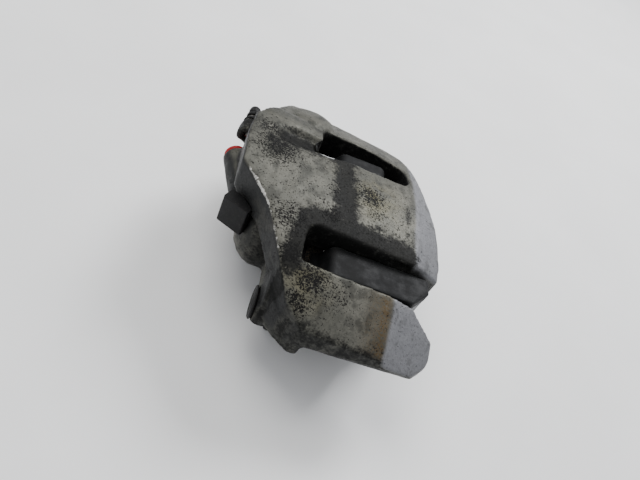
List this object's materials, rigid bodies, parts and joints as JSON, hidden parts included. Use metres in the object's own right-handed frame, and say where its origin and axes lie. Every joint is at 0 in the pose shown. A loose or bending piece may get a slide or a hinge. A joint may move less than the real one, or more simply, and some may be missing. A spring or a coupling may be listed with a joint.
{
  "type": "disc brake caliper",
  "caption": "Floating disc brake caliper on its bracket: a windowed bridge over the disc gap, outboard fingers, a piston that clamps the pads, guide pins, bleeder and plugged hose inlet.",
  "frame": {"origin": "midway between the two knuckle bolt holes, on the plane of the knuckle lugs' mounting faces", "axes": "+X along the disc's axis towards the wheel, +Y along the disc's rim towards the bleeder, +Z from the disc's centre out through the bridge"},
  "size_m": [0.1477, 0.1931, 0.0872],
  "materials": {
    "cast_alloy": "sand-cast aluminium, dull and stained with brake dust",
    "cast_iron": "dark coated iron casting, satin",
    "steel": "zinc-plated steel, dull",
    "backing_paint": "black painted steel",
    "friction": "matt friction lining",
    "rubber": "black rubber",
    "black_plastic": "black glass-filled plastic",
    "red_plastic": "red plastic transport plug"
  },
  "bodies": {
    "carrier": {"carrier_bracket": "cast_iron", "guide_pin_near": "steel", "guide_pin_far": "steel"},
    "caliper": {"caliper_housing": "cast_alloy", "piston_seal": "rubber", "guide_bush_near": "rubber", "guide_bush_far": "rubber", "bush_cap_near": "rubber", "bush_cap_far": "rubber", "sensor_plug_holder": "black_plastic", "cap_strap": "rubber"},
    "piston": {"piston": "steel", "dust_boot": "rubber"},
    "inner_pad": {"inner_pad_backing": "backing_paint", "inner_pad_lining": "friction", "inner_pad_shim": "steel", "piston_clip": "steel"},
    "outer_pad": {"outer_pad_backing": "backing_paint", "outer_pad_lining": "friction", "outer_pad_shim": "steel"},
    "bleed_screw": {"bleed_screw": "steel"},
    "bleed_cap": {"bleed_cap": "rubber"},
    "inlet_plug": {"inlet_plug": "red_plastic"}
  },
  "joints": [
    {"name": "caliper_float", "type": "slide", "parent": "carrier", "child": "caliper", "axis": [1, 0, 0], "range_m": [-0.007, 0]},
    {"name": "piston_stroke", "type": "slide", "parent": "caliper", "child": "piston", "axis": [1, 0, 0], "range_m": [0, 0.014], "deforming": ["dust_boot"]},
    {"name": "inner_pad_slide", "type": "slide", "parent": "carrier", "child": "inner_pad", "axis": [1, 0, 0], "range_m": [0, 0.007]},
    {"name": "outer_pad_slide", "type": "slide", "parent": "carrier", "child": "outer_pad", "axis": [1, 0, 0], "range_m": [-0.007, 0]},
    {"name": "bleed_screw_turn", "type": "hinge", "parent": "caliper", "child": "bleed_screw", "pos_m": [-0.0475, 0.0525, 0.052], "axis": [0, 1, 0], "range_deg": [0, 180]},
    {"name": "bleed_cap_pull", "type": "slide", "parent": "bleed_screw", "child": "bleed_cap", "axis": [0, 1, 0], "range_m": [0, 0.012]},
    {"name": "inlet_plug_pull", "type": "slide", "parent": "caliper", "child": "inlet_plug", "axis": [-0.3763, 0.9265, 0], "range_m": [0, 0.012]}
  ],
  "couplings": [
    {"joint": "piston_stroke", "follows": "caliper_float", "ratio": -2},
    {"joint": "inner_pad_slide", "follows": "caliper_float", "ratio": -1},
    {"joint": "outer_pad_slide", "follows": "caliper_float", "ratio": 1}
  ]
}
